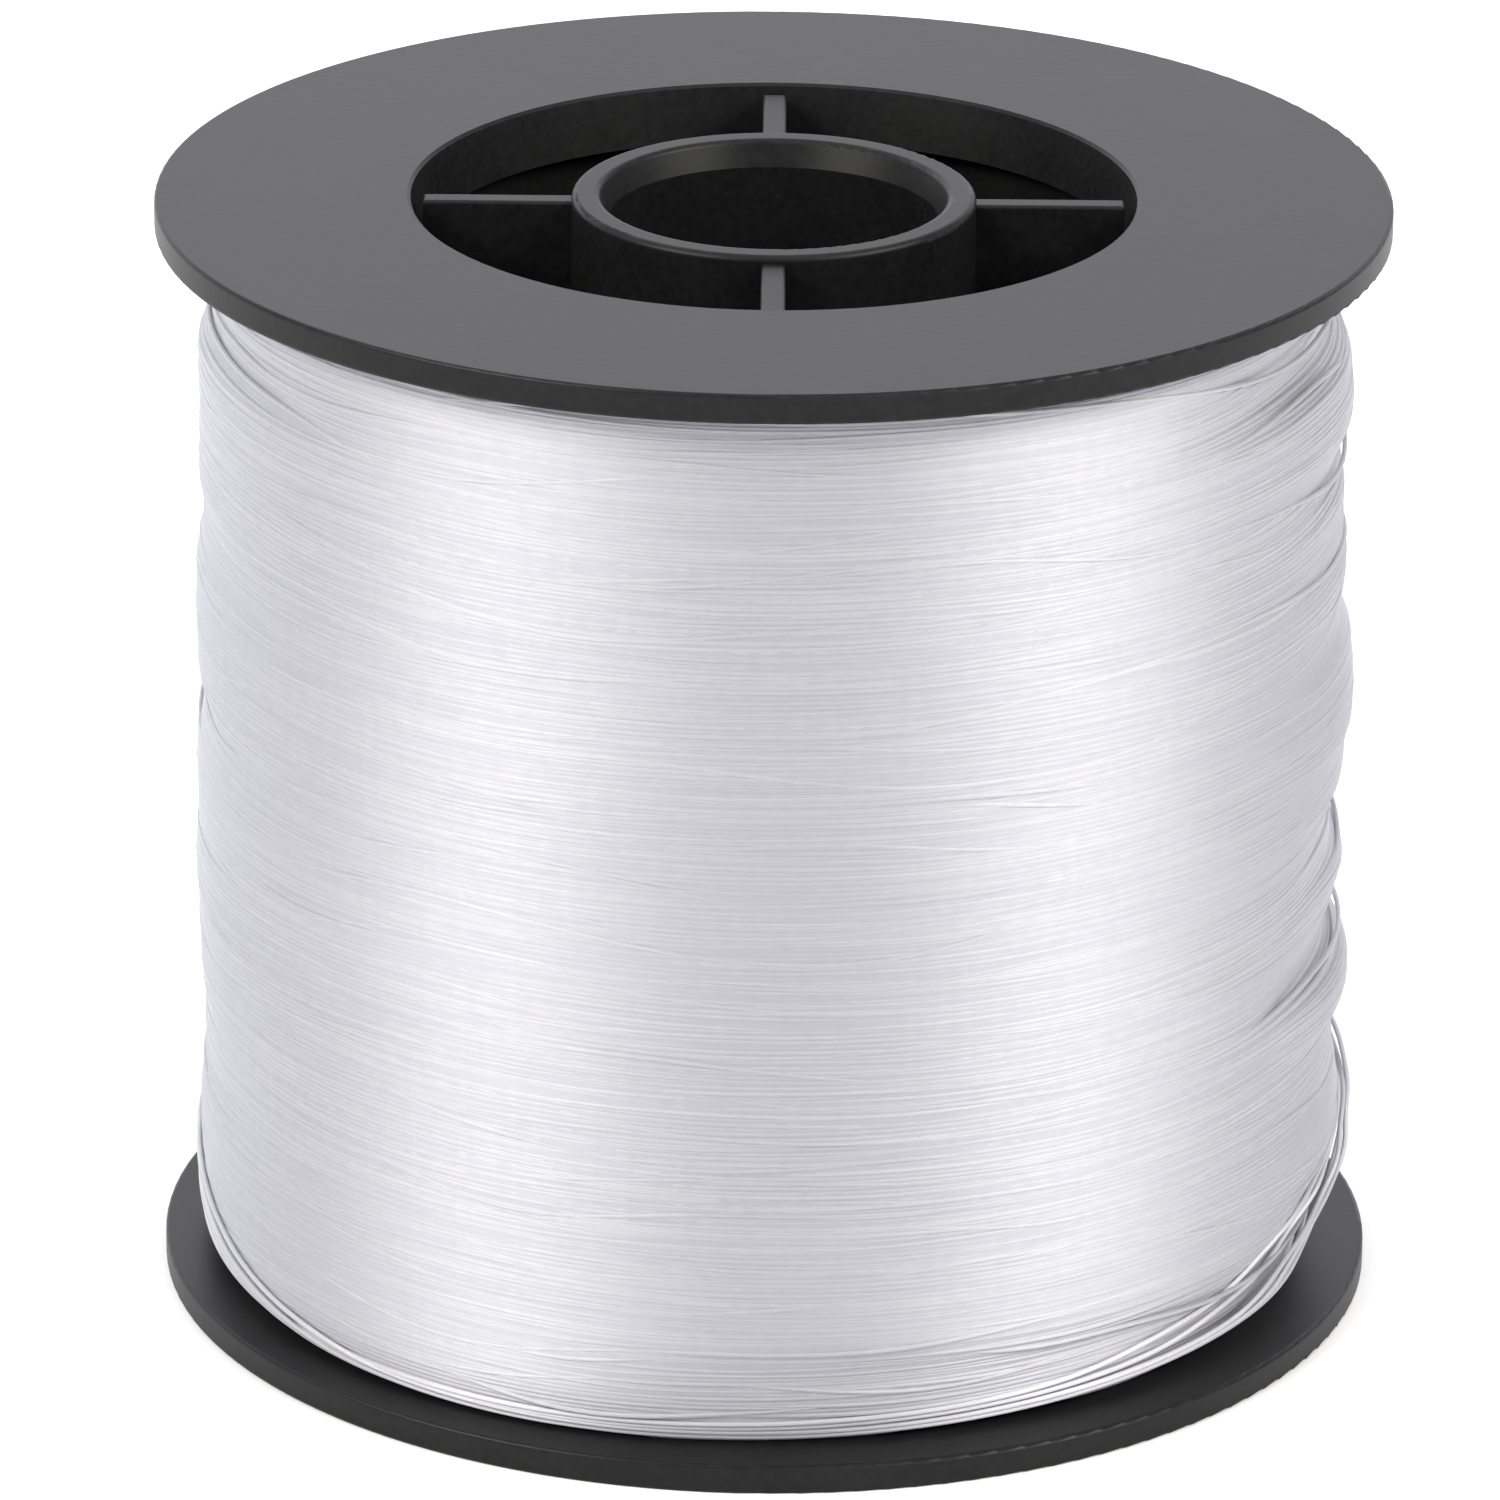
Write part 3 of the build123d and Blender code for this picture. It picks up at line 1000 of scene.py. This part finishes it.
# The softboxes' azimuths, and the elevation, distance and size that both have, in degrees and metres
SOFTBOXES = {"softbox_left": -148, "softbox_right": -25}
SOFTBOX_ELEVATION = 35
SOFTBOX_DISTANCE = 1.6
SOFTBOX_SIZE = (1.1, 0.5)
SOFTBOX_COLOUR = (1.0, 0.98, 0.92)
LIT_POINT = (0.0, 0.0, 0.03)
# The bright wall's direction, and the cosines between which the wall and the bright ceiling fade in
WALL_DIRECTION = (-0.3, 0.95, 0.0)
WALL_FADE = (0.4, 0.95)
CEILING_FADE = (0.7, 1.0)
# How much more blue than red or green the surroundings give
COOLNESS = 1.05
# The camera's place in metres and its rotation in degrees
CAMERA_PLACE = (0.0, -0.5574, 0.2426)
CAMERA_ROTATION = (69.05, -0.46, 0.281)


class SPOOL_OT_stage(bpy.types.Operator):
    """Sets the pale floor, the soft studio light and the camera"""

    bl_idname = "spool.stage"
    bl_label = "Stage"

    def execute(self, context):
        scene = context.scene
        settings = scene.spool_stage
        scene.view_settings.view_transform = "Standard"

        mesh = bpy.data.meshes.new("floor")
        side = 6.0
        corners = [(-side, -side, 0), (side, -side, 0), (side, side, 0), (-side, side, 0)]
        mesh.from_pydata(corners, [], [(0, 1, 2, 3)])
        floor = piece_object("floor", mesh)
        material, _, shader = new_material("floor_white")
        shader.inputs["Base Color"].default_value = settings.floor_colour
        shader.inputs["Roughness"].default_value = 0.9
        shader.inputs["Specular IOR Level"].default_value = 0.0
        mesh.materials.append(material)

        world = bpy.data.worlds.new("studio")
        world.use_nodes = True
        sky = Bench(world.node_tree)
        background = world.node_tree.nodes["Background"]
        direction = sky.add("ShaderNodeTexCoord").outputs["Object"]
        behind = sky.smooth(sky.vector("DOT_PRODUCT", direction, WALL_DIRECTION), *WALL_FADE)
        above = sky.smooth(sky.vector("DOT_PRODUCT", direction, (0.0, 0.0, 1.0)), *CEILING_FADE)
        wall = sky.math("MULTIPLY", behind, settings.backdrop - settings.surround)
        ceiling = sky.math("MULTIPLY", above, settings.overhead)
        shade = sky.math("ADD", sky.math("ADD", settings.surround, wall), ceiling)
        blue = sky.math("MULTIPLY", shade, COOLNESS)
        sky.join(sky.combine(shade, shade, blue), background.inputs["Color"])
        background.inputs["Strength"].default_value = 1.0
        scene.world = world

        e = math.radians(SOFTBOX_ELEVATION)
        for name, azimuth in SOFTBOXES.items():
            lamp = bpy.data.lights.new(name, "AREA")
            lamp.shape = "RECTANGLE"
            lamp.size, lamp.size_y = SOFTBOX_SIZE
            lamp.energy = settings.softbox_power
            lamp.color = SOFTBOX_COLOUR
            light = bpy.data.objects.new(name, lamp)
            a = math.radians(azimuth)
            away = (math.cos(a) * math.cos(e), math.sin(a) * math.cos(e), math.sin(e))
            light.location = [t + SOFTBOX_DISTANCE * d for t, d in zip(LIT_POINT, away)]
            facing = light.location - Vector(LIT_POINT)
            light.rotation_euler = facing.to_track_quat("Z", "Y").to_euler()
            scene.collection.objects.link(light)

        camera = bpy.data.cameras.new("camera")
        camera.sensor_width = 36.0
        camera.lens = settings.lens
        camera.clip_start, camera.clip_end = 0.01, 20.0
        viewer = bpy.data.objects.new("camera", camera)
        viewer.location = CAMERA_PLACE
        viewer.rotation_euler = [math.radians(a) for a in CAMERA_ROTATION]
        scene.collection.objects.link(viewer)
        scene.camera = viewer
        return {"FINISHED"}


class SPOOL_PT_panel(bpy.types.Panel):
    """Lists the spool's settings and makers"""

    bl_idname = "SPOOL_PT_panel"
    bl_label = "Fishing Line Spool"
    bl_space_type = "VIEW_3D"
    bl_region_type = "UI"
    bl_category = "Line Spool"

    def draw(self, context):
        layout = self.layout
        for group in (context.scene.spool_line, context.scene.spool_plastic, context.scene.spool_stage):
            box = layout.box()
            for name in group.__annotations__:
                box.prop(group, name)
        for operator in OPERATORS:
            layout.operator(operator.bl_idname)


OPERATORS = (SPOOL_OT_plastic, SPOOL_OT_winding, SPOOL_OT_slack_turns, SPOOL_OT_line_ends, SPOOL_OT_stage)
SETTINGS = {"spool_line": LineSettings, "spool_plastic": PlasticSettings, "spool_stage": StageSettings}


def register():
    for cls in (*SETTINGS.values(), *OPERATORS, SPOOL_PT_panel):
        bpy.utils.register_class(cls)
    for name, cls in SETTINGS.items():
        setattr(bpy.types.Scene, name, PointerProperty(type=cls))


def unregister():
    for name in SETTINGS:
        delattr(bpy.types.Scene, name)
    for cls in reversed((*SETTINGS.values(), *OPERATORS, SPOOL_PT_panel)):
        bpy.utils.unregister_class(cls)


def main():
    register()
    bpy.ops.spool.plastic()
    bpy.ops.spool.winding()
    bpy.ops.spool.slack_turns()
    bpy.ops.spool.line_ends()
    bpy.ops.spool.stage()


if __name__ == "__main__":
    main()
